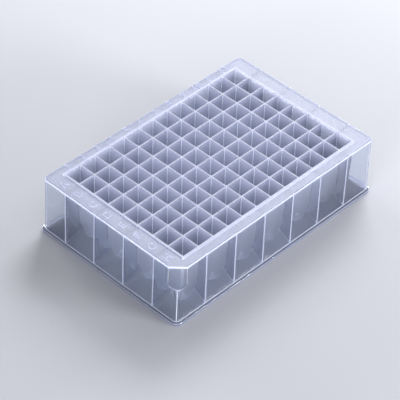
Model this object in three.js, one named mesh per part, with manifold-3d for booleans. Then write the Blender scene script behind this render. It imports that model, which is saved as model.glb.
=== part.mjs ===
// A 96-well square deep-well plate, injection-moulded in one piece from natural polypropylene.
//
// Millimetres, +Z up. The origin is the centre of the footprint, on the surface the plate stands on.
// X runs along the columns 1 to 12 and Y across the rows, with row A at +Y and row H at -Y, so the
// corner that is cut off for orientation, H1, is at -X, -Y.

import * as THREE from 'three';
import { mergeVertices } from 'three/addons/utils/BufferGeometryUtils.js';
import Module from 'manifold-3d';

const wasm = await Module();
wasm.setup();

// ---- Driving dimensions ----

// The well grid, and where it lies in the footprint
const COLUMNS = 12;
const ROWS = 8;
const PITCH = 9;
const EDGE_TO_COLUMN = 14.38; // from the footprint's short side to the first column's centres
const EDGE_TO_ROW = 11.24; // from its long side to the first row's centres

// Heights above the table
const HEIGHT = 31.2; // the rims of the wells
const LEDGE_HEIGHT = 20; // the shelf at the foot of the cut corner
const CUP_SPLIT_HEIGHT = 10.2; // below this the wells part into separate round cups
const FLANGE_HEIGHT = 1.6;
const CUP_CLEARANCE = 1.5; // under the lowest point of a cup

// The wells
const WELL_WALL = 0.7; // between two wells, at their rims
const WELL_CORNER = 0.3; // in a well's four upright corners
const WELL_DRAFT = 1; // degrees, each side
const WELL_BLEND = 1; // how far above the split a well begins to turn from square to round
const CUP_WALL = 0.8;
const CUP_GAP = 0.4; // between two cups
const CUP_CORNER = 0.8; // where a cup leaves the block
const CUP_SHOULDER = 0.06; // the cup's setback from the pitch line there

// The block, its rim and the deck around it
const BLOCK_WALL = 1; // outside the outer wells, at the rims; lower down it leans in to meet the cups
const BLOCK_CORNER = 1.2; // at the rims
const RIM_WIDTH = 1.35; // outside the outer wells, above the deck
const RIM_HEIGHT = 0.5;
const RIM_CORNER = 1;
const DECK_THICKNESS = 1.1;
const DECK_EDGE = 0.35; // broken edge round the deck

// The skirt and the flange at its foot
const FOOTPRINT_CORNER = 3.4;
const FLANGE_LEDGE = 1.27; // the flange's width outside the skirt
const SKIRT_WALL = 0.95;
const SKIRT_CORNER = 2.2;
const SKIRT_DRAFT = 0.5; // degrees
const CORNER_CUT = 5.5; // legs of the 45 degree cut at H1, at deck level

// The webs between block and skirt, at every second boundary between wells
const RIB_THICKNESS = 0.8;
const LONG_SIDE_RIB = { foot: 1.8, slope: 34 }; // height at the skirt, and its rise in degrees
const SHORT_SIDE_RIB = { foot: 1.4, slope: 19 };

// Facets
const CORNER_STEPS = 4; // segments in a plan corner of the skirt and flange
const BLOCK_STEPS = 2; // and of the block and its rim
const BOWL_ANGLES = [0, 48]; // degrees below the bowl's rim; the pole closes it

const BITE = 0.4; // how far a joined piece runs into its neighbour
const OVERRUN = 0.6; // how far a cutter runs past the face it opens

// ---- Derived sizes ----

const DECK_TOP = HEIGHT - RIM_HEIGHT;
const DECK_UNDERSIDE = DECK_TOP - DECK_THICKNESS;
const CUP_RADIUS = (PITCH - CUP_GAP) / 2;
const BOWL_HEIGHT = CUP_CLEARANCE + CUP_RADIUS; // the centre of the round bottoms
const BLEND_HEIGHT = CUP_SPLIT_HEIGHT + WELL_BLEND;
const CUP_TOP_HALF = PITCH / 2 - CUP_SHOULDER; // half a cup's width where it leaves the block
const LAST_COLUMN = (COLUMNS - 1) * PITCH / 2;
const LAST_ROW = (ROWS - 1) * PITCH / 2;

const footprint = new THREE.Vector2(LAST_COLUMN + EDGE_TO_COLUMN, LAST_ROW + EDGE_TO_ROW);
const outerWells = new THREE.Vector2(LAST_COLUMN, LAST_ROW).addScalar((PITCH - WELL_WALL) / 2);
const block = outerWells.clone().addScalar(BLOCK_WALL);
const rim = outerWells.clone().addScalar(RIM_WIDTH);

const leanOver = (height, degrees) => height * Math.tan(THREE.MathUtils.degToRad(degrees));

/** Half the skirt's outside size, X and Y, at a height above the table. */
function skirtAt(z) {
  return footprint.clone().subScalar(FLANGE_LEDGE + leanOver(z - FLANGE_HEIGHT, SKIRT_DRAFT));
}

/** Half a well's width at a height above the table, where it is still square. */
function wellHalfAt(z) {
  return (PITCH - WELL_WALL) / 2 - leanOver(HEIGHT - z, WELL_DRAFT);
}

// ---- Outlines and lofts ----

/** A rectangle with round corners, anticlockwise, given half its size. */
function roundedRectangle(half, radius, steps = CORNER_STEPS) {
  const points = [];
  for (let corner = 0; corner < 4; corner += 1) {
    const sideX = corner === 0 || corner === 3 ? 1 : -1;
    const sideY = corner < 2 ? 1 : -1;
    for (let step = 0; step <= steps; step += 1) {
      const angle = (corner + step / steps) * Math.PI / 2;
      points.push(new THREE.Vector2(
        sideX * (half.x - radius) + radius * Math.cos(angle),
        sideY * (half.y - radius) + radius * Math.sin(angle),
      ));
    }
  }
  return points;
}

/** A square of eight points, its corners cut back by the given leg. */
function eightSided(half, leg) {
  return roundedRectangle(new THREE.Vector2(half, half), leg, 1);
}

/** A regular octagon whose sides touch a circle of the given radius. */
function roundRing(radius) {
  return eightSided(radius, radius * (2 - Math.SQRT2));
}

/**
 * A closed solid through a stack of rings with the same number of points. Each ring is an outline and
 * its height; a last entry with no outline is a pole that the surface closes on.
 */
function loft(rings, at = new THREE.Vector2()) {
  const positions = [];
  const indices = [];
  const count = rings[0].outline.length;
  const pole = rings.at(-1).outline ? null : rings.at(-1);
  const walls = pole ? rings.slice(0, -1) : rings;
  const upward = rings.at(-1).z > rings[0].z;
  const face = (a, b, c) => indices.push(...(upward ? [a, b, c] : [a, c, b]));

  for (const { outline, z } of walls) {
    for (const point of outline) positions.push(at.x + point.x, at.y + point.y, z);
  }
  for (let ring = 0; ring < walls.length - 1; ring += 1) {
    for (let i = 0; i < count; i += 1) {
      const here = ring * count + i;
      const next = ring * count + (i + 1) % count;
      face(here, next, next + count);
      face(here, next + count, here + count);
    }
  }

  const triangles = THREE.ShapeUtils.triangulateShape(walls[0].outline, []);
  for (const [a, b, c] of triangles) face(a, c, b);
  const last = (walls.length - 1) * count;
  if (pole) {
    positions.push(at.x, at.y, pole.z);
    for (let i = 0; i < count; i += 1) face(last + i, last + (i + 1) % count, last + count);
  } else {
    const cap = THREE.ShapeUtils.triangulateShape(walls.at(-1).outline, []);
    for (const [a, b, c] of cap) face(last + a, last + b, last + c);
  }

  const geometry = new THREE.BufferGeometry();
  geometry.setAttribute('position', new THREE.Float32BufferAttribute(positions, 3));
  geometry.setIndex(indices);
  return geometry;
}

// ---- Solids ----

function toManifold(geometry) {
  const bare = geometry.clone();
  bare.deleteAttribute('normal');
  bare.deleteAttribute('uv');
  const merged = mergeVertices(bare);
  return new wasm.Manifold(new wasm.Mesh({
    numProp: 3,
    vertProperties: new Float32Array(merged.attributes.position.array),
    triVerts: new Uint32Array(merged.index.array),
  }));
}

function toGeometry(solid) {
  const mesh = solid.getMesh();
  const geometry = new THREE.BufferGeometry();
  geometry.setAttribute('position', new THREE.BufferAttribute(mesh.vertProperties, 3));
  geometry.setIndex(new THREE.BufferAttribute(mesh.triVerts, 1));
  geometry.computeVertexNormals();
  return geometry;
}

/** What lies beyond the 45 degree cut at H1, from a height up. The inset moves the cut inwards. */
function cutCorner(fromHeight, inset) {
  const deck = skirtAt(DECK_TOP);
  const leg = CORNER_CUT + inset * Math.SQRT2;
  const reach = FOOTPRINT_CORNER + FLANGE_LEDGE + leg;
  const outline = [
    new THREE.Vector2(-deck.x - reach, -deck.y - reach),
    new THREE.Vector2(-deck.x + leg + reach, -deck.y - reach),
    new THREE.Vector2(-deck.x - reach, -deck.y + leg + reach),
  ];
  return toManifold(loft([{ outline, z: fromHeight }, { outline, z: HEIGHT + OVERRUN }]));
}

/** The skirt, its flange and the deck: an open box, upside down, with one corner cut and shelved. */
function makeShell() {
  const wall = (z, inset, radius) => ({
    outline: roundedRectangle(skirtAt(z).subScalar(inset), radius),
    z,
  });
  const deckRing = wall(DECK_TOP - DECK_EDGE, DECK_EDGE, SKIRT_CORNER - DECK_EDGE);
  const outside = toManifold(loft([
    wall(0, 0, SKIRT_CORNER),
    wall(DECK_TOP - DECK_EDGE, 0, SKIRT_CORNER),
    { outline: deckRing.outline, z: DECK_TOP },
  ]));
  const flangeOutline = roundedRectangle(footprint, FOOTPRINT_CORNER);
  const flange = toManifold(loft([
    { outline: flangeOutline, z: 0 },
    { outline: flangeOutline, z: FLANGE_HEIGHT },
  ]));
  const hollow = toManifold(loft([
    wall(-OVERRUN, SKIRT_WALL, SKIRT_CORNER - SKIRT_WALL),
    wall(DECK_UNDERSIDE, SKIRT_WALL, SKIRT_CORNER - SKIRT_WALL),
  ]));
  const cutHollow = hollow.subtract(cutCorner(LEDGE_HEIGHT - SKIRT_WALL, SKIRT_WALL));
  return outside.subtract(cutCorner(LEDGE_HEIGHT, 0)).add(flange).subtract(cutHollow);
}

/** The solid that the wells are sunk in, flush with the cups at its foot, with the rim above the deck. */
function makeBlock() {
  const foot = new THREE.Vector2(LAST_COLUMN, LAST_ROW).addScalar(CUP_TOP_HALF);
  const ridge = roundedRectangle(rim, RIM_CORNER, BLOCK_STEPS);
  return toManifold(loft([
    { outline: roundedRectangle(foot, CUP_CORNER, BLOCK_STEPS), z: CUP_SPLIT_HEIGHT },
    { outline: roundedRectangle(block, BLOCK_CORNER, BLOCK_STEPS), z: DECK_TOP - BITE },
  ])).add(toManifold(loft([
    { outline: ridge, z: DECK_TOP - DECK_THICKNESS / 2 },
    { outline: ridge, z: HEIGHT },
  ])));
}

/** The rings of a bowl of the given radius, from its rim down to its pole. */
function bowlRings(radius) {
  const rings = BOWL_ANGLES.map((degrees) => {
    const angle = THREE.MathUtils.degToRad(degrees);
    return { outline: roundRing(radius * Math.cos(angle)), z: BOWL_HEIGHT - radius * Math.sin(angle) };
  });
  return [...rings, { z: BOWL_HEIGHT - radius }];
}

/** A well's inside: a drafted square shaft that turns round and closes in a bowl. */
function wellRings() {
  return [
    { outline: eightSided(wellHalfAt(HEIGHT + OVERRUN), WELL_CORNER), z: HEIGHT + OVERRUN },
    { outline: eightSided(wellHalfAt(BLEND_HEIGHT), WELL_CORNER), z: BLEND_HEIGHT },
    ...bowlRings(CUP_RADIUS - CUP_WALL),
  ];
}

/** A well's outside below the block: the same turn from square to round, one wall further out. */
function cupRings() {
  return [
    { outline: eightSided(CUP_TOP_HALF - BITE, CUP_CORNER), z: CUP_SPLIT_HEIGHT + BITE },
    { outline: eightSided(CUP_TOP_HALF, CUP_CORNER), z: CUP_SPLIT_HEIGHT },
    ...bowlRings(CUP_RADIUS),
  ];
}

/** One solid for each place in the well grid. */
function atEveryWell(rings) {
  const solids = [];
  for (let column = 0; column < COLUMNS; column += 1) {
    for (let row = 0; row < ROWS; row += 1) {
      const at = new THREE.Vector2(column * PITCH - LAST_COLUMN, row * PITCH - LAST_ROW);
      solids.push(toManifold(loft(rings, at)));
    }
  }
  return solids;
}

/**
 * A web that stands across the gap between block and skirt and runs in under the block, as far as the
 * centre of the outer cups. Its foot rises inwards. It is drawn for a side that faces +X.
 */
function ribGeometry(skirtHalf, lastWell, { foot, slope }) {
  const innerFace = (z) => skirtHalf(z) - SKIRT_WALL + BITE;
  const rise = leanOver(innerFace(foot) - lastWell, 90 - slope);
  const top = DECK_UNDERSIDE + BITE;
  const profile = new THREE.Shape([
    new THREE.Vector2(innerFace(foot), foot),
    new THREE.Vector2(innerFace(top), top),
    new THREE.Vector2(lastWell, top),
    new THREE.Vector2(lastWell, Math.min(foot + rise, CUP_SPLIT_HEIGHT)),
  ]);
  const web = new THREE.ExtrudeGeometry(profile, { depth: RIB_THICKNESS, bevelEnabled: false });
  web.translate(0, 0, -RIB_THICKNESS / 2);
  return web.rotateX(Math.PI / 2);
}

/** The webs of all four sides, each at every second boundary between two wells. */
function makeRibs() {
  const longSide = ribGeometry((z) => skirtAt(z).y, LAST_ROW, LONG_SIDE_RIB);
  const shortSide = ribGeometry((z) => skirtAt(z).x, LAST_COLUMN, SHORT_SIDE_RIB);
  const ribs = [];
  for (let boundary = 1; boundary < COLUMNS; boundary += 2) {
    const x = boundary * PITCH - LAST_COLUMN - PITCH / 2;
    ribs.push(longSide.clone().rotateZ(Math.PI / 2).translate(x, 0, 0));
    ribs.push(longSide.clone().rotateZ(-Math.PI / 2).translate(x, 0, 0));
  }
  for (let boundary = 1; boundary < ROWS; boundary += 2) {
    const y = boundary * PITCH - LAST_ROW - PITCH / 2;
    ribs.push(shortSide.clone().translate(0, y, 0));
    ribs.push(shortSide.clone().rotateZ(Math.PI).translate(0, y, 0));
  }
  return ribs.map(toManifold);
}

// ---- The plate ----

let plate = makeShell().add(makeBlock());
for (const piece of [...makeRibs(), ...atEveryWell(cupRings())]) plate = plate.add(piece);
for (const well of atEveryWell(wellRings())) plate = plate.subtract(well);

const polypropylene = new THREE.MeshStandardMaterial({
  color: 0xdfe1ec,
  roughness: 0.38,
  metalness: 0,
  transparent: true,
  opacity: 0.7,
});

const wellPlate = new THREE.Mesh(toGeometry(plate), polypropylene);
wellPlate.name = 'well_plate';

const part = new THREE.Group();
part.add(wellPlate);

export default part;
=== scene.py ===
"""A 96-well square deep-well plate, moulded in one piece from natural polypropylene.

The CAD solid gives the envelope. This script makes the finished moulding inside it: smooth wells and
cups, rounded edges, the marks on the deck, and the milky plastic that grows denser with its thickness.
Metres, +Z up, with the plate's footprint centred on the origin and row H, column 1 at -X, -Y.
"""

import logging
import math
from dataclasses import dataclass
from enum import Enum
from typing import Callable, Iterable, Sequence

import bmesh
import bpy
from bmesh.types import BMesh, BMFace, BMVert
from bpy.types import (ID, Material, Mesh, MeshLoopTriangle, MeshPolygon, NodeOutputs, NodeSocket, NodeTree,
                       Object)
from mathutils import Matrix, Vector
from mathutils.bvhtree import BVHTree

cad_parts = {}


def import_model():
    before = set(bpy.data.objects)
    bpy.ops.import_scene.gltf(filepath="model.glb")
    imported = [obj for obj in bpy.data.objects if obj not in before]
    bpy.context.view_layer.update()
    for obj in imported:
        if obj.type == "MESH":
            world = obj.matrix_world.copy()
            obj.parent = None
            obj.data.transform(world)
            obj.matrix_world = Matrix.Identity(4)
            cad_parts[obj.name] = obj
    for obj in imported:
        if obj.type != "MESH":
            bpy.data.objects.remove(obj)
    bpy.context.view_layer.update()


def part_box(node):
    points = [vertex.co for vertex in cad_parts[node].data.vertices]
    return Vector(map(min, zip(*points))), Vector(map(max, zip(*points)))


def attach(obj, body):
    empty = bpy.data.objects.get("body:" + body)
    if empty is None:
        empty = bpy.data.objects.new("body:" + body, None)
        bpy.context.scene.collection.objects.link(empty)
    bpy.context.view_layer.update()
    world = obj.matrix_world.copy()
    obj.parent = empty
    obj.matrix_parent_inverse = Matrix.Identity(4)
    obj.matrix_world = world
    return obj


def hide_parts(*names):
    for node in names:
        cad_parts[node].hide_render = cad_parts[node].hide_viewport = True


LOG = logging.getLogger("well_plate")
MM = 0.001
NODE = "well_plate"

BITE = 0.4 * MM  # how deep the end of a joined piece lies inside its neighbour
OVERRUN = 0.6 * MM  # how far a cutter runs past the face it opens
SAME_POINT = 0.0001 * MM  # points closer than this are one point
SQUARE_ON = 0.99  # the least share of a normal along an axis in a face that looks along it
SHARP_EDGE = math.radians(32)  # the angle from which an edge isn't smoothed

Outline = list[Vector]
Ring = tuple[Outline, float]
Colour = tuple[float, float, float, float]
Value = NodeSocket | float | Colour


class Join(Enum):
    """How one closed mesh is combined with another."""

    ADD = "UNION"
    CUT = "DIFFERENCE"


# ---- Outlines, lofts and booleans ----


@dataclass(frozen=True)
class Corner:
    """A corner of an outline, rounded by an arc.

    Args:
        at: the sharp corner.
        radius: the arc's radius.
        steps: the number of segments in the arc.
    """

    at: Vector
    radius: float
    steps: int

    def arc(self, before: Vector, after: Vector) -> Outline:
        """The arc's points, from the side that comes from one corner to the side that leads to another.

        Args:
            before: the corner before this one.
            after: the corner after it.

        Returns:
            steps + 1 points.
        """
        back = (before - self.at).normalized()
        on = (after - self.at).normalized()
        half_angle = back.angle(on) / 2
        reach = self.radius / math.tan(half_angle)
        centre = self.at + (back + on).normalized() * self.radius / math.sin(half_angle)
        first, last = self.at + back * reach - centre, self.at + on * reach - centre
        turn = first.angle_signed(last)
        points = []
        for step in range(self.steps + 1):
            angle = -turn * step / self.steps
            points.append(centre + Matrix.Rotation(angle, 2) @ first)
        return points


def rounded_polygon(corners: Sequence[Corner]) -> Outline:
    """An outline of arcs joined by straight sides.

    Args:
        corners: the corners, anticlockwise.

    Returns:
        The points of all the arcs.
    """
    points = []
    for index, corner in enumerate(corners):
        before = corners[index - 1].at
        after = corners[(index + 1) % len(corners)].at
        points += corner.arc(before, after)
    return points


def rounded_rectangle(half: Vector, radius: float, steps: int) -> Outline:
    """A rectangle with round corners.

    Args:
        half: half its size.
        radius: of its corners.
        steps: segments in each corner.

    Returns:
        The outline, anticlockwise from +X.
    """
    signs = ((1, 1), (-1, 1), (-1, -1), (1, -1))
    return rounded_polygon([Corner(Vector((x * half.x, y * half.y)), radius, steps) for x, y in signs])


def between_square_and_circle(half: float, radius: float, steps: int, flat: float) -> Outline:
    """A square with round corners, whose flats stay a share of the ring when the corners become a circle.

    Args:
        half: half the square's width.
        radius: of its corners, up to half.
        steps: segments in each corner.
        flat: the angle left for half of a flat when the radius reaches half.

    Returns:
        4 * (steps + 1) points, anticlockwise from +X.
    """
    first = flat * radius / half
    points = []
    for quarter in range(4):
        turned = Matrix.Rotation(quarter * math.pi / 2, 2)
        for step in range(steps + 1):
            angle = first + (math.pi / 2 - 2 * first) * step / steps
            x = half - radius + radius * math.cos(angle)
            y = half - radius + radius * math.sin(angle)
            points.append(turned @ Vector((x, y)))
    return points


def quarter_round(radius: float, steps: int) -> list[tuple[float, float]]:
    """The profile of a rounded edge, from the wall up to the top face.

    Args:
        radius: of the edge.
        steps: segments in it.

    Returns:
        Pairs of how far in from the wall and how far below the top face.
    """
    angles = [math.pi / 2 * step / steps for step in range(steps + 1)]
    return [(radius * (1 - math.cos(a)), radius * (1 - math.sin(a))) for a in angles]


def add_loft(bm: BMesh, rings: Sequence[Ring], at: Vector, pole: float | None = None) -> None:
    """Adds one closed solid through a stack of rings.

    Args:
        bm: the mesh that it is added to.
        rings: outlines with the same number of points, and their heights.
        at: where their centre stands.
        pole: the height of the point that closes the last ring, or None for a flat face.
    """
    count = len(rings[0][0])
    layers = [[bm.verts.new((at.x + p.x, at.y + p.y, z)) for p in outline] for outline, z in rings]
    for low, high in zip(layers, layers[1:]):
        for i in range(count):
            j = (i + 1) % count
            bm.faces.new((low[i], low[j], high[j], high[i]))
    bm.faces.new(reversed(layers[0]))
    if pole is None:
        bm.faces.new(layers[-1])
        return
    tip = bm.verts.new((at.x, at.y, pole))
    for i in range(count):
        bm.faces.new((layers[-1][i], layers[-1][(i + 1) % count], tip))


def placed(name: str, data: ID) -> Object:
    """An object made of its data and linked to the scene.

    Args:
        name: of the object.
        data: its mesh, curve, lamp or camera.

    Returns:
        The object.
    """
    made = bpy.data.objects.new(name, data)
    bpy.context.scene.collection.objects.link(made)
    return made


def mesh_object(name: str, bm: BMesh) -> Object:
    """A mesh object, linked to the scene.

    Args:
        name: of the object and its mesh.
        bm: its geometry, which is used up.

    Returns:
        The object.
    """
    mesh = bpy.data.meshes.new(name)
    bm.to_mesh(mesh)
    bm.free()
    return placed(name, mesh)


def solid(name: str, fill: Callable[[BMesh], None]) -> Object:
    """A closed mesh object with its faces pointing out.

    Args:
        name: of the object and its mesh.
        fill: adds the geometry to an empty mesh.

    Returns:
        The object.
    """
    bm = bmesh.new()
    fill(bm)
    bmesh.ops.remove_doubles(bm, verts=bm.verts, dist=SAME_POINT)
    bmesh.ops.dissolve_degenerate(bm, dist=SAME_POINT, edges=bm.edges)
    bmesh.ops.recalc_face_normals(bm, faces=bm.faces)
    return mesh_object(name, bm)


def lofted(name: str, rings: Sequence[Ring], pole: float | None = None,
           centres: Iterable[Vector] = (Vector((0, 0)),)) -> Object:
    """One loft, or a copy of it at each of several places, as one object.

    Args:
        name: of the object.
        rings: the loft's rings.
        pole: as in add_loft.
        centres: the places.

    Returns:
        The object.
    """
    def fill(bm: BMesh) -> None:
        """Adds every copy."""
        for at in centres:
            add_loft(bm, rings, at, pole)

    return solid(name, fill)


def settle_modifiers(piece: Object) -> None:
    """Replaces a piece's mesh by what its modifiers make of it.

    Args:
        piece: the object.
    """
    graph = bpy.context.evaluated_depsgraph_get()
    mesh = bpy.data.meshes.new_from_object(piece.evaluated_get(graph))
    old = piece.data
    piece.modifiers.clear()
    piece.data = mesh
    bpy.data.meshes.remove(old)
    mesh.name = piece.name


def combine(piece: Object, other: Object, how: Join) -> None:
    """Joins or cuts a piece with another closed mesh, which is used up.

    Args:
        piece: the object that changes.
        other: what is added or cut away.
        how: which of the two.
    """
    modifier = piece.modifiers.new(other.name, "BOOLEAN")
    modifier.operation = how.value
    modifier.solver = "MANIFOLD"
    modifier.object = other
    settle_modifiers(piece)
    spent = other.data
    bpy.data.objects.remove(other)
    bpy.data.meshes.remove(spent)


def smoothstep(t: float) -> float:
    """Eases a share of the way from 0 to 1."""
    return t * t * (3 - 2 * t)


# ---- The sizes that the sub-assemblies share ----


@dataclass(frozen=True)
class Envelope:
    """The CAD solid's outer size.

    Args:
        half: half the footprint.
        height: of the well rims above the table.
    """

    half: Vector
    height: float

    @classmethod
    def of(cls, node: str) -> "Envelope":
        """Measures a CAD node.

        Args:
            node: its name.

        Returns:
            Its envelope.
        """
        low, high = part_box(node)
        return cls(Vector(((high.x - low.x) / 2, (high.y - low.y) / 2)), high.z)


@dataclass(frozen=True)
class WellGrid:
    """The places of the wells, centred on the origin."""

    columns: int = 12
    rows: int = 8
    pitch: float = 9 * MM

    @property
    def last(self) -> Vector:
        """The centre of the outermost well."""
        return Vector((self.columns - 1, self.rows - 1)) * self.pitch / 2

    def centres(self) -> list[Vector]:
        """Every well's centre."""
        steps = [(column, row) for column in range(self.columns) for row in range(self.rows)]
        return [Vector(step) * self.pitch - self.last for step in steps]

    def nearest(self, point: Vector) -> Vector:
        """The centre of the well that is nearest to a point.

        Args:
            point: in the plate's frame.

        Returns:
            The centre.
        """
        column = min(max(round((point.x + self.last.x) / self.pitch), 0), self.columns - 1)
        row = min(max(round((point.y + self.last.y) / self.pitch), 0), self.rows - 1)
        return Vector((column, row)) * self.pitch - self.last

    def web_places(self, wells: int) -> list[float]:
        """Where the webs stand along a side: at every second boundary between wells.

        Args:
            wells: how many wells the side has.

        Returns:
            Their distances from the side's middle.
        """
        return [(boundary - wells / 2) * self.pitch for boundary in range(1, wells, 2)]


# ---- The sub-assemblies ----


@dataclass(frozen=True)
class Shell:
    """The skirt, its flange and the deck: an open box, upside down, with the corner at H1 cut off."""

    envelope: Envelope
    grid: WellGrid
    rim_height: float = 0.5 * MM
    deck_thickness: float = 1.1 * MM
    deck_edge: float = 0.35 * MM
    wall: float = 0.95 * MM
    corner: float = 2.2 * MM
    draft: float = math.radians(0.5)
    corner_cut: float = 5.5 * MM
    cut_corner: float = 0.3 * MM
    ledge_height: float = 20.0 * MM
    ledge_edge: float = 0.3 * MM
    flange_height: float = 1.6 * MM
    flange_ledge: float = 1.27 * MM
    flange_corner: float = 3.4 * MM
    flange_edge: float = 0.35 * MM
    flange_fillet: float = 0.4 * MM
    foot_edge: float = 0.15 * MM
    foot_line: float = 0.6 * MM
    web_thickness: float = 0.8 * MM
    sink_depth: float = 0.1 * MM
    sink_width: float = 1.8 * MM
    steps: int = 9
    edge_steps: int = 3
    deck_edge_steps: int = 4
    foot_edge_steps: int = 2

    @property
    def deck_top(self) -> float:
        """The deck's height above the table."""
        return self.envelope.height - self.rim_height

    @property
    def deck_underside(self) -> float:
        """The height of the deck's lower face."""
        return self.deck_top - self.deck_thickness

    def half_at(self, z: float, inset: float = 0.0) -> Vector:
        """Half the skirt's size at a height.

        Args:
            z: the height above the table.
            inset: how far inside the outer face.

        Returns:
            Half the width along X and Y.
        """
        lean = (z - self.flange_height) * math.tan(self.draft)
        off = self.flange_ledge + lean + inset
        return self.envelope.half - Vector((off, off))

    def _along(self, start: Vector, end: Vector) -> Outline:
        """The points where the webs' faces meet a straight side.

        Args:
            start: one end of the side.
            end: its other end.

        Returns:
            The points between them, in order.
        """
        long_side = abs(start.y - end.y) < abs(start.x - end.x)
        wells = self.grid.columns if long_side else self.grid.rows
        axis = 0 if long_side else 1
        stops = [place + edge * self.web_thickness / 2
                 for place in self.grid.web_places(wells) for edge in (-1, 1)]
        points = []
        for stop in sorted(stops, reverse=end[axis] < start[axis]):
            share = (stop - start[axis]) / (end[axis] - start[axis])
            points.append(start.lerp(end, share))
        return points

    def outline(self, z: float, inset: float = 0.0, cut: bool = False, webs: bool = False) -> Outline:
        """The skirt's outline at a height, which has as many points whether its corner is cut off or not.

        Args:
            z: the height above the table.
            inset: how far inside the outer face.
            cut: whether the corner at H1 is off.
            webs: whether the outline has points at the webs' faces.

        Returns:
            The outline, anticlockwise from +X.
        """
        half = self.half_at(z, inset)
        radius = max(self.corner - inset, self.foot_edge)
        corners = [
            Corner(Vector((half.x, half.y)), radius, self.steps),
            Corner(Vector((-half.x, half.y)), radius, self.steps),
        ]
        if cut:
            # The face across the corner is upright, and the wall behind it as thick as elsewhere.
            lean = self.half_at(z).x - self.half_at(self.deck_top).x
            leg = self.corner_cut + 2 * lean - inset * (2 - math.sqrt(2))
            small = max(self.cut_corner - inset, self.foot_edge)
            corners.append(Corner(Vector((-half.x, -half.y + leg)), small, self.steps // 2))
            corners.append(Corner(Vector((-half.x + leg, -half.y)), small, self.steps // 2))
        else:
            corners.append(Corner(Vector((-half.x, -half.y)), radius, 2 * (self.steps // 2) + 1))
        corners.append(Corner(Vector((half.x, -half.y)), radius, self.steps))
        points = rounded_polygon(corners)
        if not webs:
            return points
        ring = []
        for point, following in zip(points, points[1:] + points[:1]):
            ring.append(point)
            if (following - point).length > self.grid.pitch:
                ring += self._along(point, following)
        return ring

    def _ledge_rings(self, z: float, inset: float, webs: bool) -> list[Ring]:
        """The rings that step in from the whole corner to the cut one, over a rounded edge.

        Args:
            z: the height of the ledge.
            inset: how far inside the outer face.
            webs: as in outline.

        Returns:
            The rings, from below the ledge to its inner end.
        """
        rings = []
        for inward, below in quarter_round(self.ledge_edge, self.edge_steps):
            height = z - below
            whole = self.outline(height, inset, webs=webs)
            cut = self.outline(height, inset, cut=True, webs=webs)
            moved = []
            for here, there in zip(whole, cut):
                gap = (there - here).length
                moved.append(here.lerp(there, inward / gap) if gap > inward else there)
            rings.append((moved, height))
        rings.append((self.outline(z, inset, cut=True, webs=webs), z))
        return rings

    def build(self) -> Object:
        """Makes the shell.

        Returns:
            The object, which the other sub-assemblies are joined to.
        """
        roof = self.deck_underside
        rings = [(self.outline(0.0, webs=True), 0.0)]
        rings += self._ledge_rings(self.ledge_height, 0.0, webs=True)
        rings.append((self.outline(roof, cut=True, webs=True), roof))
        for inward, below in quarter_round(self.deck_edge, self.deck_edge_steps):
            z = self.deck_top - below
            rings.append((self.outline(z, inward, cut=True, webs=True), z))
        outside = lofted("plate_moulding", rings)
        combine(outside, self._flange(), Join.ADD)

        hollow = [(self.outline(z, self.wall), z) for z in (-OVERRUN, self.foot_line)]
        hollow += self._ledge_rings(self.ledge_height - self.wall, self.wall, webs=False)
        hollow.append((self.outline(roof, self.wall, cut=True), roof))
        combine(outside, lofted("hollow", hollow), Join.CUT)
        return outside

    def sink_over_webs(self, moulding: Object) -> None:
        """Dips the deck over each web, where the thicker plastic shrank as it cooled.

        Args:
            moulding: the finished moulding.
        """
        bm = bmesh.new()
        bm.from_mesh(moulding.data)
        for axis, wells in ((0, self.grid.columns), (1, self.grid.rows)):
            for place in self.grid.web_places(wells):
                for side in (-0.5, 0.0, 0.5):
                    at, way = Vector((0, 0, 0)), Vector((0, 0, 0))
                    at[axis], way[axis] = place + side * self.sink_width, 1.0
                    deck = [face for face in bm.faces if self._is_deck(face)]
                    edges = {edge for face in deck for edge in face.edges}
                    cut = bmesh.ops.bisect_plane(bm, geom=deck + list(edges), plane_co=at, plane_no=way)
                    if side == 0.0:
                        for vert in cut["geom_cut"]:
                            if isinstance(vert, BMVert):
                                vert.co.z -= self.sink_depth
        bm.to_mesh(moulding.data)
        bm.free()

    def _is_deck(self, face: BMFace) -> bool:
        """Whether a face is part of the deck's top."""
        below = abs(face.calc_center_bounds().z - self.deck_top)
        return face.normal.z > SQUARE_ON and below < 2 * self.sink_depth

    def _flange_ring(self, inset: float) -> Outline:
        """The flange's outline, moved inwards."""
        half = self.envelope.half - Vector((inset, inset))
        return rounded_rectangle(half, self.flange_corner - inset, self.steps)

    def _flange(self) -> Object:
        """Makes the slab that the flange is the outer part of, with its edges and its root rounded.

        Returns:
            The object.
        """
        rings = [(self._flange_ring(inward), below)
                 for inward, below in reversed(quarter_round(self.foot_edge, self.foot_edge_steps))]
        rings += [(self._flange_ring(inward), self.flange_height - below)
                  for inward, below in quarter_round(self.flange_edge, self.edge_steps)]
        for inward, below in reversed(quarter_round(self.flange_fillet, self.edge_steps)):
            z = self.flange_height + self.flange_fillet - below
            rings.append((self.outline(z, inward - self.flange_fillet), z))
        return lofted("flange", rings)


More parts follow.
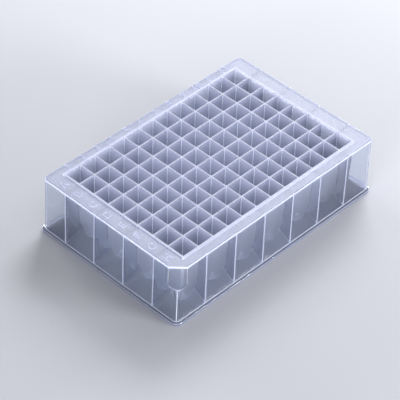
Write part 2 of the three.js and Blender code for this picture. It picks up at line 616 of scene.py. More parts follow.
@dataclass(frozen=True)
class WellBlock:
    """The 96 wells, with the block that they are sunk in, its rim and the round cups below it."""

    shell: Shell
    grid: WellGrid
    cup_split: float = 10.2 * MM
    cup_clearance: float = 1.5 * MM
    well_wall: float = 0.7 * MM
    well_corner: float = 0.3 * MM
    well_draft: float = math.radians(1)
    well_blend: float = 1.0 * MM
    mouth_edge: float = 0.18 * MM
    cup_wall: float = 0.8 * MM
    cup_gap: float = 0.4 * MM
    cup_corner: float = 0.9 * MM
    cup_shoulder: float = 0.06 * MM
    block_wall: float = 1.0 * MM
    block_corner: float = 1.2 * MM
    rim_width: float = 1.35 * MM
    rim_corner: float = 1.0 * MM
    rim_edge: float = 0.15 * MM
    steps: int = 5
    flat: float = math.radians(9)
    blend_steps: int = 4
    bowl_steps: int = 6
    edge_steps: int = 2
    corner_steps: int = 4

    @property
    def cup_radius(self) -> float:
        """The outer radius of a cup."""
        return (self.grid.pitch - self.cup_gap) / 2

    @property
    def cup_top(self) -> float:
        """Half a cup's width where it leaves the block."""
        return self.grid.pitch / 2 - self.cup_shoulder

    @property
    def bowl_height(self) -> float:
        """The height of the centre of the round bottoms."""
        return self.cup_clearance + self.cup_radius

    def _half_at(self, z: float) -> float:
        """Half a well's width at a height, where it is still square."""
        lean = (self.shell.envelope.height - z) * math.tan(self.well_draft)
        return (self.grid.pitch - self.well_wall) / 2 - lean

    def _ring(self, half: float, radius: float, z: float) -> Ring:
        """One ring of a well or cup."""
        return between_square_and_circle(half, radius, self.steps, self.flat), z

    def _turned_round(self, half: float, corner: float, z: float, radius: float) -> list[Ring]:
        """The rings from a square down to the equator of a bowl, and on down to just above its pole.

        Args:
            half: half the square's width.
            corner: the radius of its corners.
            z: its height.
            radius: of the bowl.

        Returns:
            The rings, downwards. The pole isn't among them.
        """
        rings = []
        for step in range(self.blend_steps + 1):
            share = step / self.blend_steps
            eased = smoothstep(share)
            width = half + (radius - half) * eased
            round_off = corner + (width - corner) * eased
            rings.append(self._ring(width, round_off, z + (self.bowl_height - z) * share))
        for step in range(1, self.bowl_steps):
            angle = math.pi / 2 * step / self.bowl_steps
            width = radius * math.cos(angle)
            rings.append(self._ring(width, width, self.bowl_height - radius * math.sin(angle)))
        return rings

    def _wells(self) -> Object:
        """Makes the insides of the wells, as cutters that run out of the top.

        Returns:
            One object.
        """
        top = self.shell.envelope.height
        rings = [self._ring(self._half_at(top) + self.mouth_edge, self.well_corner, top + OVERRUN)]
        for inward, below in reversed(quarter_round(self.mouth_edge, self.edge_steps)):
            z = top - below
            rings.append(self._ring(self._half_at(z) + inward, self.well_corner, z))
        blend = self.cup_split + self.well_blend
        radius = self.cup_radius - self.cup_wall
        rings += self._turned_round(self._half_at(blend), self.well_corner, blend, radius)
        return lofted("wells", rings, self.bowl_height - radius, self.grid.centres())

    def _cups(self) -> Object:
        """Makes the outsides of the wells below the block.

        Returns:
            One object.
        """
        half = self.cup_top
        rings = [self._ring(half - BITE, self.cup_corner, self.cup_split + BITE)]
        rings += self._turned_round(half, self.cup_corner, self.cup_split, self.cup_radius)
        return lofted("cups", rings, self.cup_clearance, self.grid.centres())

    def outer(self, width: float) -> Vector:
        """Half the size of the rectangle that lies a width outside the outer wells' mouths."""
        reach = (self.grid.pitch - self.well_wall) / 2 + width
        return self.grid.last + Vector((reach, reach))

    def _block(self) -> Object:
        """Makes the solid block, without its wells.

        Returns:
            The object.
        """
        foot = self.grid.last + Vector((self.cup_top, self.cup_top))
        head = self.outer(self.block_wall)
        rings = [
            (rounded_rectangle(foot, self.cup_corner, self.corner_steps), self.cup_split),
            (rounded_rectangle(head, self.block_corner, self.corner_steps), self.shell.deck_top - BITE),
        ]
        return lofted("block", rings)

    def _rim(self) -> Object:
        """Makes the low rim round all the wells, which stands above the deck.

        Returns:
            The object.
        """
        half = self.outer(self.rim_width)
        start = self.shell.deck_top - self.shell.deck_thickness / 2
        rings = [(rounded_rectangle(half, self.rim_corner, self.corner_steps), start)]
        for inward, below in quarter_round(self.rim_edge, self.edge_steps):
            inner = half - Vector((inward, inward))
            ring = rounded_rectangle(inner, self.rim_corner - inward, self.corner_steps)
            rings.append((ring, self.shell.envelope.height - below))
        return lofted("rim", rings)

    def join_to(self, moulding: Object) -> None:
        """Adds the block and its rim to the moulding.

        Args:
            moulding: the shell.
        """
        combine(moulding, self._block(), Join.ADD)
        combine(moulding, self._rim(), Join.ADD)

    def sink_into(self, moulding: Object) -> None:
        """Adds the cups and cuts the wells.

        Args:
            moulding: the shell with its block and webs.
        """
        combine(moulding, self._cups(), Join.ADD)
        combine(moulding, self._wells(), Join.CUT)


@dataclass(frozen=True)
class Webs:
    """The webs that stand between block and skirt, with feet that rise inwards."""

    shell: Shell
    block: WellBlock
    grid: WellGrid
    long_side_foot: float = 1.8 * MM
    long_side_slope: float = math.radians(34)
    short_side_foot: float = 1.4 * MM
    short_side_slope: float = math.radians(19)

    def _profile(self, axis: int, foot: float, slope: float) -> list[Vector]:
        """A web's outline, as distance from the plate's middle and height.

        Args:
            axis: 0 for the short sides, which face X, and 1 for the long ones.
            foot: its height at the skirt.
            slope: how steeply its foot rises inwards.

        Returns:
            Four points.
        """
        def face(z: float) -> float:
            """Where the web ends inside the skirt."""
            return self.shell.half_at(z, self.shell.wall - BITE)[axis]

        top = self.shell.deck_underside + BITE
        inner = self.grid.last[axis]
        rise = (face(foot) - inner) * math.tan(slope)
        return [
            Vector((face(foot), foot)),
            Vector((face(top), top)),
            Vector((inner, top)),
            Vector((inner, min(foot + rise, self.block.cup_split))),
        ]

    def _add(self, bm: BMesh, profile: Sequence[Vector], axis: int, side: int, place: float) -> None:
        """Adds one web.

        Args:
            bm: the mesh that it is added to.
            profile: its outline.
            axis: the axis that its side faces, 0 or 1.
            side: 1 or -1, for the way that its side faces.
            place: where it stands along that side.
        """
        layers = []
        for edge in (-1, 1):
            across = place + edge * self.shell.web_thickness / 2
            layer = []
            for out, z in profile:
                spot = (side * out, across, z) if axis == 0 else (across, side * out, z)
                layer.append(bm.verts.new(spot))
            layers.append(layer)
        near, far = layers
        for i in range(len(profile)):
            j = (i + 1) % len(profile)
            bm.faces.new((near[i], near[j], far[j], far[i]))
        bm.faces.new(near)
        bm.faces.new(far)

    def join_to(self, moulding: Object) -> None:
        """Adds all the webs to the moulding.

        Args:
            moulding: the shell with its block.
        """
        sides = (
            (0, self._profile(0, self.short_side_foot, self.short_side_slope), self.grid.rows),
            (1, self._profile(1, self.long_side_foot, self.long_side_slope), self.grid.columns),
        )

        def fill(bm: BMesh) -> None:
            """Adds the webs of all four sides.

            Args:
                bm: the mesh that they are added to.
            """
            for axis, profile, wells in sides:
                for place in self.grid.web_places(wells):
                    for side in (-1, 1):
                        self._add(bm, profile, axis, side, place)

        combine(moulding, solid("webs", fill), Join.ADD)


@dataclass(frozen=True)
class DeckMarks:
    """The raised row letters and column numbers on the deck."""

    shell: Shell
    block: WellBlock
    grid: WellGrid
    height: float = 3.8 * MM
    relief: float = 0.35 * MM
    slope: float = 0.12 * MM
    rows: str = "ABCDEFGH"
    capitals: float = 0.72  # the height of a capital as a share of the font's size
    curve_steps: int = 3

    def _mark(self, text: str, at: Vector) -> Mesh:
        """One raised letter or number, with its foot sunk in the deck.

        Args:
            text: what it says.
            at: the middle of it.

        Returns:
            Its mesh.
        """
        curve = bpy.data.curves.new(f"mark_{text}", "FONT")
        curve.body = text
        curve.size = self.height / self.capitals
        curve.align_x = "CENTER"
        curve.align_y = "CENTER"
        curve.extrude = self.relief - self.slope
        curve.bevel_depth = self.slope
        curve.bevel_resolution = 0
        curve.offset = -self.slope
        curve.resolution_u = self.curve_steps
        carrier = placed(curve.name, curve)
        carrier.location = (at.x, at.y, self.shell.deck_top)
        bpy.context.view_layer.update()
        graph = bpy.context.evaluated_depsgraph_get()
        mesh = bpy.data.meshes.new_from_object(carrier.evaluated_get(graph))
        mesh.transform(carrier.matrix_world)
        bpy.data.objects.remove(carrier)
        bpy.data.curves.remove(curve)
        return mesh

    def build(self) -> Object:
        """Makes all the marks.

        Returns:
            One object.
        """
        band = (self.shell.half_at(self.shell.deck_top) + self.block.outer(self.block.rim_width)) / 2
        marks = []
        for row, letter in enumerate(self.rows):
            y = self.grid.last.y - row * self.grid.pitch
            marks.append(self._mark(letter, Vector((-band.x, y))))
        for column in range(self.grid.columns):
            x = column * self.grid.pitch - self.grid.last.x
            marks.append(self._mark(str(column + 1), Vector((x, band.y))))
        bm = bmesh.new()
        for mark in marks:
            bm.from_mesh(mark)
            bpy.data.meshes.remove(mark)
        bmesh.ops.remove_doubles(bm, verts=bm.verts, dist=10 * SAME_POINT)
        return mesh_object("deck_marks", bm)


# ---- The mould's finishes, some with painted highlight, light or shade ----

DEPTH = "plastic_depth"  # the attribute of a face that says how much plastic is under it


class Finish(Enum):
    """How the mould is finished behind a face. The value is the face's material slot. The edge finish
    carries painted highlight, the matt one partly painted highlight, the drawn one painted shade inside the
    wells and the blasted one painted light on the block's outside and the cups.
    """

    POLISHED = 0
    EDGE = 1
    DRAWN_SHADED = 2
    BLASTED_LIT = 3
    MATT_AND_HIGHLIGHT = 4
    TEXTURED = 5


@dataclass(frozen=True)
class Survey:
    """Measures how much plastic light meets under each face of a piece.

    Args:
        most: the longest way through the plastic that counts.
        skin: how far below a face a way starts.
        rings: the directions that are averaged with the one straight down: how many stand round it, and how
            far they lean from it.
        straight: the share of the one straight down in the mean.
    """

    most: float = 6 * MM
    skin: float = 0.01 * MM
    rings: tuple[tuple[int, float], ...] = ((4, math.radians(30)), (6, math.radians(58)))
    straight: float = 0.5

    def _leaning(self, normal: Vector) -> list[Vector]:
        """The directions into the plastic that stand round the inward normal.

        Args:
            normal: of the face.

        Returns:
            Unit vectors.
        """
        aside = normal.orthogonal().normalized()
        across = normal.cross(aside)
        found = []
        for count, lean in self.rings:
            for step in range(count):
                turn = 2 * math.pi * step / count
                out = aside * math.cos(turn) + across * math.sin(turn)
                found.append(out * math.sin(lean) - normal * math.cos(lean))
        return found

    def write(self, piece: Object) -> None:
        """Adds the mean way through the plastic, in mm, as an attribute of the faces.

        Args:
            piece: the object, with its final mesh.
        """
        mesh = piece.data
        bm = bmesh.new()
        bm.from_mesh(mesh)
        tree = BVHTree.FromBMesh(bm)
        bm.free()
        mesh.calc_loop_triangles()
        largest: dict[int, MeshLoopTriangle] = {}
        for triangle in mesh.loop_triangles:
            known = largest.get(triangle.polygon_index)
            if known is None or triangle.area > known.area:
                largest[triangle.polygon_index] = triangle
        depths = []
        for index in range(len(mesh.polygons)):
            corners = [mesh.vertices[vertex].co for vertex in largest[index].vertices]
            normal = largest[index].normal
            start = (corners[0] + corners[1] + corners[2]) / 3 - normal * self.skin
            ways = []
            for direction in [-normal] + self._leaning(normal):
                way = tree.ray_cast(start, direction, self.most)[3]
                ways.append(self.most if way is None else way)
            leaning = sum(ways[1:]) / len(ways[1:])
            depths.append((ways[0] * self.straight + leaning * (1 - self.straight)) / MM)
        mesh.attributes.new(DEPTH, "FLOAT", "FACE").data.foreach_set("value", depths)


@dataclass(frozen=True)
class Mould:
    """The finish that each part of the mould leaves, with painted highlight on edges and wells' corners,
    painted shade inside the wells and painted light on the block's outside.

    Args:
        grid: of the wells.
        levels: the heights of level faces that have a finish of their own, with it.
        deck: the height of the deck, above which edges stay polished and get no painted highlight.
        inner: half the size of the rectangle that holds the wells and their block.
        foot: the height under which the inside of the skirt counts as an edge and gets the painted
            highlight.
        near: how far off its height a level face may be.
        edge_width: a face narrower than this is part of a rounded edge, or the middle of an upright corner.
        arris_width: a face narrower than this is part of a sharp upright corner.
        corner_width: a face in a well narrower than this is part of a rounded corner or mouth and gets a
            painted highlight.
        edge_lean: how far up a rounded edge's face may look.
        upright: how far up or down an upright face may look.
        diagonal: how much further along X than Y, or Y than X, a diagonal face may look.
        aslant: how far along X or Y a face in a rounded corner or mouth may look.
        droop: how far down a face in a well may look.
    """

    grid: WellGrid
    levels: dict[float, Finish]
    deck: float
    inner: Vector
    foot: float
    near: float = 0.15 * MM
    edge_width: float = 0.5 * MM
    arris_width: float = 0.1 * MM
    corner_width: float = 0.25 * MM
    edge_lean: float = 0.7
    upright: float = 0.1
    diagonal: float = 0.1
    aslant: float = 0.98
    droop: float = 0.01

    def _width(self, mesh: Mesh, polygon: MeshPolygon) -> float:
        """The width of a face across its longest side.

        Args:
            mesh: the piece's mesh.
            polygon: the face.

        Returns:
            Its mean width, or for a triangle its height.
        """
        loop = [mesh.vertices[vertex].co for vertex in polygon.vertices]
        longest = max((a - b).length for a, b in zip(loop, loop[1:] + loop[:1]))
        return polygon.area / longest * (2 if len(loop) == 3 else 1)

    def _takes_edge_highlight(self, mesh: Mesh, polygon: MeshPolygon) -> bool:
        """Whether a face gets the painted edge highlight: part of a rounded edge, or the middle of a
        rounded upright corner.

        Args:
            mesh: the piece's mesh.
            polygon: the face.

        Returns:
            True for the inside of the foot, for a narrow face that doesn't look along an axis, and for a
            narrow upright one on the diagonal.
        """
        normal = polygon.normal
        if polygon.center.z > self.deck or normal.z > self.edge_lean:
            return False
        if polygon.center.z < self.foot and normal.dot(polygon.center) < 0:
            return True
        along_x, along_y, along_z = (abs(part) for part in normal)
        if max(along_x, along_y, along_z) > SQUARE_ON:
            return False
        sharp = along_z < self.upright and abs(along_x - along_y) > self.diagonal
        return self._width(mesh, polygon) < (self.arris_width if sharp else self.edge_width)

    def _finish_of(self, mesh: Mesh, polygon: MeshPolygon) -> Finish:
        """The finish of a face: its level's, or the one of the part of the mould that it lies in. Rounded
        edges and wells' corners get painted highlight, wells' insides painted shade, and the block's and
        cups' outsides painted light.

        Args:
            mesh: the piece's mesh.
            polygon: the face.

        Returns:
            The finish.
        """
        at, normal = polygon.center, polygon.normal
        if abs(normal.z) > SQUARE_ON:
            for height, finish in self.levels.items():
                if abs(at.z - height) < self.near:
                    return finish
        if abs(at.x) > self.inner.x or abs(at.y) > self.inner.y:
            # rounded edges and the inside of the foot get the whiter plastic: painted highlight
            return Finish.EDGE if self._takes_edge_highlight(mesh, polygon) else Finish.POLISHED
        outwards = at.xy - self.grid.nearest(at)
        # faces that look out of their well get the lighter copy: painted light on the block's outside and
        # the cups
        if normal.xy.dot(outwards) >= 0 or normal.z <= -self.droop:
            return Finish.BLASTED_LIT
        # narrow faces in a well's corners and mouth get the deck's lighter plastic: painted highlight
        corner_highlight = max(abs(normal.x), abs(normal.y)) < self.aslant
        corner_highlight = corner_highlight and self._width(mesh, polygon) < self.corner_width
        # the rest of a well's inside gets the darker copy: painted shade
        return Finish.TEXTURED if corner_highlight else Finish.DRAWN_SHADED

    def dress(self, moulding: Object, marks: Object) -> None:
        """Gives each face of the moulding and of the marks on its deck its finish.

        Args:
            moulding: the moulding.
            marks: the letters and numbers.
        """
        for polygon in moulding.data.polygons:
            polygon.material_index = self._finish_of(moulding.data, polygon).value
        for polygon in marks.data.polygons:
            top = polygon.normal.z > SQUARE_ON
            # the sides of the marks get the lighter matt plastic: painted highlight along the letters
            polygon.material_index = (Finish.TEXTURED if top else Finish.MATT_AND_HIGHLIGHT).value


# ---- The shader nodes that the materials share ----


def group_of(name: str, numbers: Sequence[str], colours: Sequence[str],
             outputs: dict[str, str]) -> NodeTree:
    """An empty shader node group.

    Args:
        name: of the group.
        numbers: the names of the inputs that are numbers.
        colours: the names of those that are colours.
        outputs: each output's name, with its type of socket.

    Returns:
        The group, with its Group Input and Group Output nodes.
    """
    group = bpy.data.node_groups.new(name, "ShaderNodeTree")
    for socket in numbers:
        group.interface.new_socket(socket, in_out="INPUT", socket_type="NodeSocketFloat")
    for socket in colours:
        group.interface.new_socket(socket, in_out="INPUT", socket_type="NodeSocketColor")
    for socket, kind in outputs.items():
        group.interface.new_socket(socket, in_out="OUTPUT", socket_type=kind)
    group.nodes.new("NodeGroupInput")
    group.nodes.new("NodeGroupOutput")
    return group


def feed(tree: NodeTree, socket: NodeSocket, value: Value) -> None:
    """Gives an input its value.

    Args:
        tree: where its node is.
        socket: the input.
        value: an output to link it to, or what to set it to.
    """
    if isinstance(value, NodeSocket):
        tree.links.new(value, socket)
    else:
        socket.default_value = value


def maths(tree: NodeTree, operation: str, *values: Value) -> NodeSocket:
    """A maths node.

    Args:
        tree: where it is made.
        operation: what it does.
        values: a socket or a number for each of its inputs.

    Returns:
        Its output.
    """
    node = tree.nodes.new("ShaderNodeMath")
    node.operation = operation
    for socket, value in zip(node.inputs, values):
        feed(tree, socket, value)
    return node.outputs[0]


def mix_shaders(tree: NodeTree, share: Value, first: NodeSocket, second: NodeSocket) -> NodeSocket:
    """Mixes two shaders.

    Args:
        tree: the nodes of a material or of the world.
        share: of the second one.
        first: a shader.
        second: another.

    Returns:
        The mixed shader.
    """
    node = tree.nodes.new("ShaderNodeMixShader")
    for socket, value in zip(node.inputs, (share, first, second)):
        feed(tree, socket, value)
    return node.outputs[0]


def place_group(tree: NodeTree, group: NodeTree, **values: Value) -> NodeOutputs:
    """Places a group with its values.

    Args:
        tree: the material's nodes.
        group: the group.
        values: a socket, a number or a colour for each input.

    Returns:
        Its outputs.
    """
    node = tree.nodes.new("ShaderNodeGroup")
    node.node_tree = group
    for name, value in values.items():
        feed(tree, node.inputs[name], value)
    return node.outputs


def milk_group() -> NodeTree:
    """The group that gives what the plastic under a face scatters: bluish if it is thin, white if thick.

    Returns:
        The group. Depth and Clearness in mm, the power Sharpness, the shares Most, Frost and Mottle, the
        height of the Grain and the colours Thin and Thick go in. Milk, the share of the light that is
        scattered, and Colour, what colour it gets, come out.
    """
    numbers = ("Depth", "Clearness", "Sharpness", "Most", "Frost", "Mottle", "Grain")
    group = group_of("milk_by_depth", numbers, ("Thin", "Thick"),
                     {"Milk": "NodeSocketFloat", "Colour": "NodeSocketColor"})
    given = group.nodes["Group Input"].outputs
    result = group.nodes["Group Output"].inputs
    depths = maths(group, "DIVIDE", given["Depth"], given["Clearness"])
    cloud = maths(group, "POWER", depths, given["Sharpness"])
    passed = maths(group, "EXPONENT", maths(group, "MULTIPLY", cloud, -1.0))
    passed = maths(group, "MULTIPLY", passed, maths(group, "SUBTRACT", 1.0, given["Frost"]))
    milk = maths(group, "MULTIPLY", maths(group, "SUBTRACT", 1.0, passed), given["Most"])
    group.links.new(milk, result["Milk"])
    blend = group.nodes.new("ShaderNodeMix")
    blend.data_type = "RGBA"
    group.links.new(milk, blend.inputs["Factor"])
    for colour, socket in zip(("Thin", "Thick"), [i for i in blend.inputs if i.type == "RGBA"]):
        group.links.new(given[colour], socket)
    shade = maths(group, "SUBTRACT", 1.0, maths(group, "MULTIPLY", given["Mottle"], given["Grain"]))
    mottled = group.nodes.new("ShaderNodeVectorMath")
    mottled.operation = "SCALE"
    blended = next(output for output in blend.outputs if output.type == "RGBA")
    group.links.new(blended, mottled.inputs[0])
    group.links.new(shade, mottled.inputs["Scale"])
    group.links.new(mottled.outputs[0], result["Colour"])
    return group


def grain_group() -> NodeTree:
    """The group that makes the fine unevenness of a moulded face.

    Returns:
        The group: Size in metres goes in, and Height from 0 to 1 comes out.
    """
    detail = 2.0
    low, high = 0.35, 0.65  # the noise that becomes 0 and 1
    group = group_of("mould_grain", ("Size",), (), {"Height": "NodeSocketFloat"})
    place = group.nodes.new("ShaderNodeTexCoord")
    noise = group.nodes.new("ShaderNodeTexNoise")
    noise.inputs["Detail"].default_value = detail
    scale = maths(group, "DIVIDE", 1.0, group.nodes["Group Input"].outputs["Size"])
    group.links.new(place.outputs["Object"], noise.inputs["Vector"])
    group.links.new(scale, noise.inputs["Scale"])
    raised = maths(group, "SUBTRACT", noise.outputs["Fac"], low)
    height = maths(group, "MULTIPLY", raised, 1 / (high - low))
    height.node.use_clamp = True
    group.links.new(height, group.nodes["Group Output"].inputs["Height"])
    return group


# ---- The plastic ----


@dataclass(frozen=True)
class Polypropylene:
    """Natural polypropylene under one finish: clear where it is thin, milky where it is thick or edge on.
    Some finishes are lighter or darker copies of it, with painted highlight, light or shade in their
    colours.

    Args:
        finish: of the mould.
        roughness: of its gloss.
        thin: the colour of the light that thin plastic scatters.
        thick: the colour of the light that thick plastic scatters.
        tint: the colour that passes a face and comes out again.
        shade: the colour that lamps keep in passing a face.
        frost: the share of light that the face itself scatters.
        mottle: how much darker the plastic is on the grain's heights.
        grain_size: of its unevenness.
        grain_height: of its unevenness.
        clearness: the depth in mm at which a face lets a third of the light through.
        sharpness: how suddenly it turns milky round that depth.
        most: the largest share that is scattered.
        edge_on: the share that a face scatters when it is seen edge on.
        edge_power: how close to edge on that is.
        behind: the share of the scattered light that comes from behind.
        refraction: the plastic's refractive index.
        body_roughness: of the milk in the plastic.
        body_gloss: how much that milk shines.
    """

    finish: Finish
    roughness: float
    thin: Colour
    thick: Colour = (0.85, 0.87, 1.0, 1)
    tint: Colour = (0.90, 0.93, 0.98, 1)
    shade: Colour = (0.65, 0.67, 0.72, 1)
    frost: float = 0.6
    mottle: float = 0.0
    grain_size: float = 2.5 * MM
    grain_height: float = 0.01 * MM
    clearness: float = 2.6
    sharpness: float = 6.0
    most: float = 0.85
    edge_on: float = 0.8
    edge_power: float = 4.0
    behind: float = 0.5
    refraction: float = 1.49
    body_roughness: float = 0.6
    body_gloss: float = 0.1

    def material(self, milk: NodeTree, grain: NodeTree) -> Material:
        """Builds the material.

        Args:
            milk: the group made by milk_group.
            grain: the group made by grain_group.

        Returns:
            It.
        """
        made = bpy.data.materials.new(f"polypropylene_{self.finish.name.lower()}")
        made.use_nodes = True
        tree = made.node_tree
        nodes, links = tree.nodes, tree.links

        height = place_group(tree, grain, Size=self.grain_size)["Height"]
        bump = nodes.new("ShaderNodeBump")
        bump.inputs["Distance"].default_value = self.grain_height
        links.new(height, bump.inputs["Height"])
        depth = nodes.new("ShaderNodeAttribute")
        depth.attribute_name = DEPTH
        cloud = place_group(
            tree, milk, Depth=depth.outputs["Fac"], Clearness=self.clearness, Sharpness=self.sharpness,
            Most=self.most, Frost=self.frost, Mottle=self.mottle, Grain=height,
            Thin=self.thin, Thick=self.thick,
        )

        clear = nodes["Principled BSDF"]
        clear.inputs["Base Color"].default_value = self.tint
        clear.inputs["Roughness"].default_value = self.roughness
        clear.inputs["IOR"].default_value = self.refraction
        clear.inputs["Transmission Weight"].default_value = 1.0
        body = nodes.new("ShaderNodeBsdfPrincipled")
        body.inputs["Roughness"].default_value = self.body_roughness
        body.inputs["Specular IOR Level"].default_value = self.body_gloss
        glow = nodes.new("ShaderNodeBsdfTranslucent")
        links.new(cloud["Colour"], body.inputs["Base Color"])
        links.new(cloud["Colour"], glow.inputs["Color"])
        lamp_light = nodes.new("ShaderNodeBsdfTransparent")
        lamp_light.inputs["Color"].default_value = self.shade
        for shader in (clear, body, glow):
            links.new(bump.outputs["Normal"], shader.inputs["Normal"])

        facing = nodes.new("ShaderNodeLayerWeight")
        edge = maths(tree, "POWER", facing.outputs["Facing"], self.edge_power)
        across = maths(tree, "SUBTRACT", 1.0, maths(tree, "MULTIPLY", edge, self.edge_on))
        passed = maths(tree, "MULTIPLY", maths(tree, "SUBTRACT", 1.0, cloud["Milk"]), across)
        milky = mix_shaders(tree, self.behind, body.outputs["BSDF"], glow.outputs["BSDF"])
        plastic = mix_shaders(tree, passed, milky, clear.outputs["BSDF"])
        path = nodes.new("ShaderNodeLightPath")
        shown = mix_shaders(tree, path.outputs["Is Shadow Ray"], plastic, lamp_light.outputs["BSDF"])
        links.new(shown, nodes["Material Output"].inputs["Surface"])
        return made


def mould_finishes() -> list[Polypropylene]:
    """The plastic under each finish of the mould.

    Returns:
        One for each finish, in the order of the material slots.
    """
    return [
        Polypropylene(
            Finish.POLISHED, roughness=0.06, frost=0.0,
            thin=(0.37, 0.44, 0.76, 1), thick=(0.57, 0.60, 0.74, 1), shade=(0.26, 0.27, 0.30, 1),
        ),
        # whiter, frostier plastic on the rounded edges: painted highlight
        Polypropylene(
            Finish.EDGE, roughness=0.15, frost=0.85,
            thin=(0.92, 0.94, 1.0, 1), shade=(0.30, 0.31, 0.34, 1),
        ),
        # darker copy for the wells' insides: painted shade
        Polypropylene(
            Finish.DRAWN_SHADED, roughness=0.2, frost=0.5, clearness=2.0, sharpness=2.0,
            thin=(0.154, 0.167, 0.245, 1), thick=(0.385, 0.402, 0.51, 1), shade=(0.92, 0.93, 0.94, 1),
        ),
        # lighter copy for the block's outside, the cups and the deck's underside: painted light
        Polypropylene(
            Finish.BLASTED_LIT, roughness=0.3, clearness=1.6, sharpness=2.0,
            thin=(0.55, 0.58, 0.75, 1), thick=(0.93, 0.94, 1.0, 1), shade=(0.86, 0.87, 0.89, 1),
            most=0.95, edge_on=1.0, edge_power=2.5,
        ),
        # lighter plastic for the wall tops and the marks' sides: partly the wall's milk seen end on, partly
        # painted highlight
        Polypropylene(
            Finish.MATT_AND_HIGHLIGHT, roughness=0.35,
            thin=(0.62, 0.64, 0.76, 1), thick=(0.74, 0.76, 0.89, 1),
        ),
        Polypropylene(
            Finish.TEXTURED, roughness=0.42, frost=0.75, mottle=0.25,
            grain_size=0.7 * MM, grain_height=0.05 * MM,
            thin=(0.42, 0.45, 0.57, 1), thick=(0.60, 0.63, 0.76, 1), shade=(0.7, 0.71, 0.75, 1),
            most=0.95,
        ),
    ]


# ---- The room ----


def looking_rays(tree: NodeTree) -> NodeSocket:
    """The mask of the rays that look at the room: from the camera, off gloss or through clear plastic.

    Args:
        tree: where its nodes are made.

    Returns:
        1 on such a ray and 0 on the others.
    """
    path = tree.nodes.new("ShaderNodeLightPath")
    glossy = maths(tree, "MAXIMUM", path.outputs["Is Glossy Ray"], path.outputs["Is Transmission Ray"])
    return maths(tree, "MAXIMUM", path.outputs["Is Camera Ray"], glossy)


@dataclass(frozen=True)
class Lamp:
    """A square soft lamp that faces the plate.

    Args:
        name: of the lamp.
        at: where it hangs.
        size: its side.
        watts: its power.
    """

    name: str
    at: tuple[float, float, float]
    size: float
    watts: float

    def hang(self) -> None:
        """Places the lamp."""
        data = bpy.data.lights.new(self.name, "AREA")
        data.size = self.size
        data.energy = self.watts
        made = placed(self.name, data)
        made.location = self.at
        made.rotation_mode = "QUATERNION"
        made.rotation_quaternion = (-Vector(self.at)).to_track_quat("-Z", "Y")


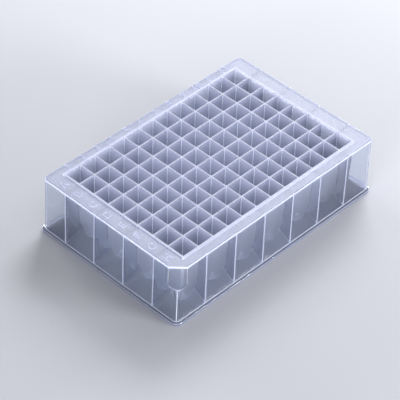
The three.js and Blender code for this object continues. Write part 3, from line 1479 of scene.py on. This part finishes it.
@dataclass(frozen=True)
class Studio:
    """A pale floor that fades into a pale room, soft lamps and the camera.

    Args:
        lens: of the camera, in mm on its sensor.
        sensor: the width of the sensor in mm.
        clip: the nearest and the furthest that the camera sees.
        heading: which way it looks, clockwise from +Y.
        elevation: how far down it looks.
        roll: how far it is turned about the way it looks.
        distance: how far it stands from its target.
        target: the point that it looks at.
        floor_colour: of the floor near the plate.
        floor_roughness: of the floor.
        floor_gloss: how much the floor shines.
        floor_size: its side.
        fade: the distances from the plate's middle between which the floor takes on the room's colour.
        room_colour: what the rays that look at the room see.
        world_colour: of the light from all round.
        world_strength: of that light.
        lamps: the soft lamps.
    """

    lens: float = 176.873
    sensor: float = 36.0
    clip: tuple[float, float] = (0.05, 20.0)
    heading: float = math.radians(47.7406)
    elevation: float = math.radians(42.0166)
    roll: float = math.radians(2.7328)
    distance: float = 868.03 * MM
    target: tuple[float, float, float] = (-11.015 * MM, -4.795 * MM, 15.77 * MM)
    floor_colour: Colour = (0.40, 0.41, 0.45, 1)
    floor_roughness: float = 0.7
    floor_gloss: float = 0.25
    floor_size: float = 8.0
    fade: tuple[float, float] = (0.25, 0.6)
    room_colour: Colour = (0.62, 0.63, 0.67, 1)
    world_colour: Colour = (0.93, 0.95, 1, 1)
    world_strength: float = 0.15
    lamps: tuple[Lamp, ...] = (
        Lamp("back_softbox", (0.52, 0.27, 0.46), 0.35, 5.9),
        Lamp("top_softbox", (-0.1, -0.35, 1.1), 0.7, 2.5),
        Lamp("left_fill", (-0.9, -0.3, 0.14), 0.4, 13.0),
        Lamp("right_fill", (0.35, -0.9, 0.14), 0.4, 18.0),
        Lamp("back_fill", (0.1, 0.9, 0.2), 0.4, 7.5),
        Lamp("end_fill", (0.95, 0.0, 0.2), 0.4, 7.5),
    )

    def camera(self) -> None:
        """Places the camera."""
        data = bpy.data.cameras.new("camera")
        data.lens = self.lens
        data.sensor_width = self.sensor
        data.clip_start, data.clip_end = self.clip
        ahead = Vector((
            math.sin(self.heading) * math.cos(self.elevation),
            math.cos(self.heading) * math.cos(self.elevation),
            -math.sin(self.elevation),
        ))
        camera = placed("camera", data)
        camera.rotation_mode = "QUATERNION"
        level = ahead.to_track_quat("-Z", "Y")
        camera.rotation_quaternion = level @ Matrix.Rotation(self.roll, 3, "Z").to_quaternion()
        camera.location = Vector(self.target) - ahead * self.distance
        bpy.context.scene.camera = camera

    def floor(self) -> Object:
        """The floor.

        Returns:
            The object.
        """
        bm = bmesh.new()
        bmesh.ops.create_grid(bm, x_segments=1, y_segments=1, size=self.floor_size / 2)
        made = mesh_object("floor", bm)
        made.data.materials.append(self._floor_material())
        return made

    def _floor_material(self) -> Material:
        """Builds the floor's material, which takes the room's colour further out.

        Returns:
            It.
        """
        made = bpy.data.materials.new("floor")
        made.use_nodes = True
        tree = made.node_tree
        nodes, links = tree.nodes, tree.links
        shader = nodes["Principled BSDF"]
        shader.inputs["Base Color"].default_value = self.floor_colour
        shader.inputs["Roughness"].default_value = self.floor_roughness
        shader.inputs["Specular IOR Level"].default_value = self.floor_gloss
        room = nodes.new("ShaderNodeEmission")
        room.inputs["Color"].default_value = self.room_colour
        place = nodes.new("ShaderNodeTexCoord")
        away = nodes.new("ShaderNodeVectorMath")
        away.operation = "LENGTH"
        links.new(place.outputs["Object"], away.inputs[0])
        fade = nodes.new("ShaderNodeMapRange")
        fade.interpolation_type = "SMOOTHSTEP"
        fade.inputs["From Min"].default_value, fade.inputs["From Max"].default_value = self.fade
        links.new(away.outputs["Value"], fade.inputs["Value"])
        share = maths(tree, "MULTIPLY", fade.outputs["Result"], looking_rays(tree))
        mixed = mix_shaders(tree, share, shader.outputs["BSDF"], room.outputs["Emission"])
        links.new(mixed, nodes["Material Output"].inputs["Surface"])
        return made

    def world(self) -> None:
        """Sets the world: a weak light from all round, and the room's colour to rays that look at it."""
        world = bpy.data.worlds.new("studio")
        world.use_nodes = True
        tree = world.node_tree
        light = tree.nodes["Background"]
        light.inputs["Color"].default_value = self.world_colour
        light.inputs["Strength"].default_value = self.world_strength
        room = tree.nodes.new("ShaderNodeBackground")
        room.inputs["Color"].default_value = self.room_colour
        backgrounds = light.outputs["Background"], room.outputs["Background"]
        shown = mix_shaders(tree, looking_rays(tree), *backgrounds)
        tree.links.new(shown, tree.nodes["World Output"].inputs["Surface"])
        bpy.context.scene.world = world


def finish_surface(piece: Object) -> None:
    """Smooths a piece's rounded edges and keeps its flat faces flat.

    Args:
        piece: the object.
    """
    piece.data.shade_smooth()
    piece.data.set_sharp_from_angle(angle=SHARP_EDGE)
    modifier = piece.modifiers.new("even_normals", "WEIGHTED_NORMAL")
    modifier.keep_sharp = True
    settle_modifiers(piece)


def follow_light() -> None:
    """Sets how far light is followed through the many walls of the plate."""
    cycles = bpy.context.scene.cycles
    cycles.max_bounces = 32
    cycles.diffuse_bounces = 12
    cycles.transmission_bounces = 32
    cycles.transparent_max_bounces = 64
    cycles.caustics_reflective = False
    cycles.caustics_refractive = False


def main() -> None:
    """Builds the plate in its frame, dresses it and sets up the room."""
    logging.basicConfig(level=logging.INFO, format="%(name)s: %(message)s")
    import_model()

    studio = Studio()
    studio.camera()
    studio.floor()
    for lamp in studio.lamps:
        lamp.hang()
    studio.world()
    follow_light()
    bpy.context.scene.view_settings.view_transform = "Standard"

    envelope = Envelope.of(NODE)
    grid = WellGrid()
    shell = Shell(envelope, grid)
    block = WellBlock(shell, grid)

    moulding = shell.build()
    block.join_to(moulding)
    Webs(shell, block, grid).join_to(moulding)
    block.sink_into(moulding)
    shell.sink_over_webs(moulding)
    finish_surface(moulding)
    marks = DeckMarks(shell, block, grid).build()

    milk, grain = milk_group(), grain_group()
    materials = [finish.material(milk, grain) for finish in mould_finishes()]
    for piece in (moulding, marks):
        piece.data.materials.clear()
        for material in materials:
            piece.data.materials.append(material)
        Survey().write(piece)
        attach(piece, "root")
        LOG.info("%s: %d faces", piece.name, len(piece.data.polygons))
    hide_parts(NODE)

    levels = {
        # the wall tops: partly painted highlight
        envelope.height: Finish.MATT_AND_HIGHLIGHT,
        shell.deck_top: Finish.TEXTURED,
        # the deck's underside: painted light
        shell.deck_underside: Finish.BLASTED_LIT,
    }
    inner = block.outer((block.block_wall + block.rim_width) / 2)
    Mould(grid, levels, shell.deck_top, inner, shell.foot_line).dress(moulding, marks)


if __name__ == "__main__":
    main()
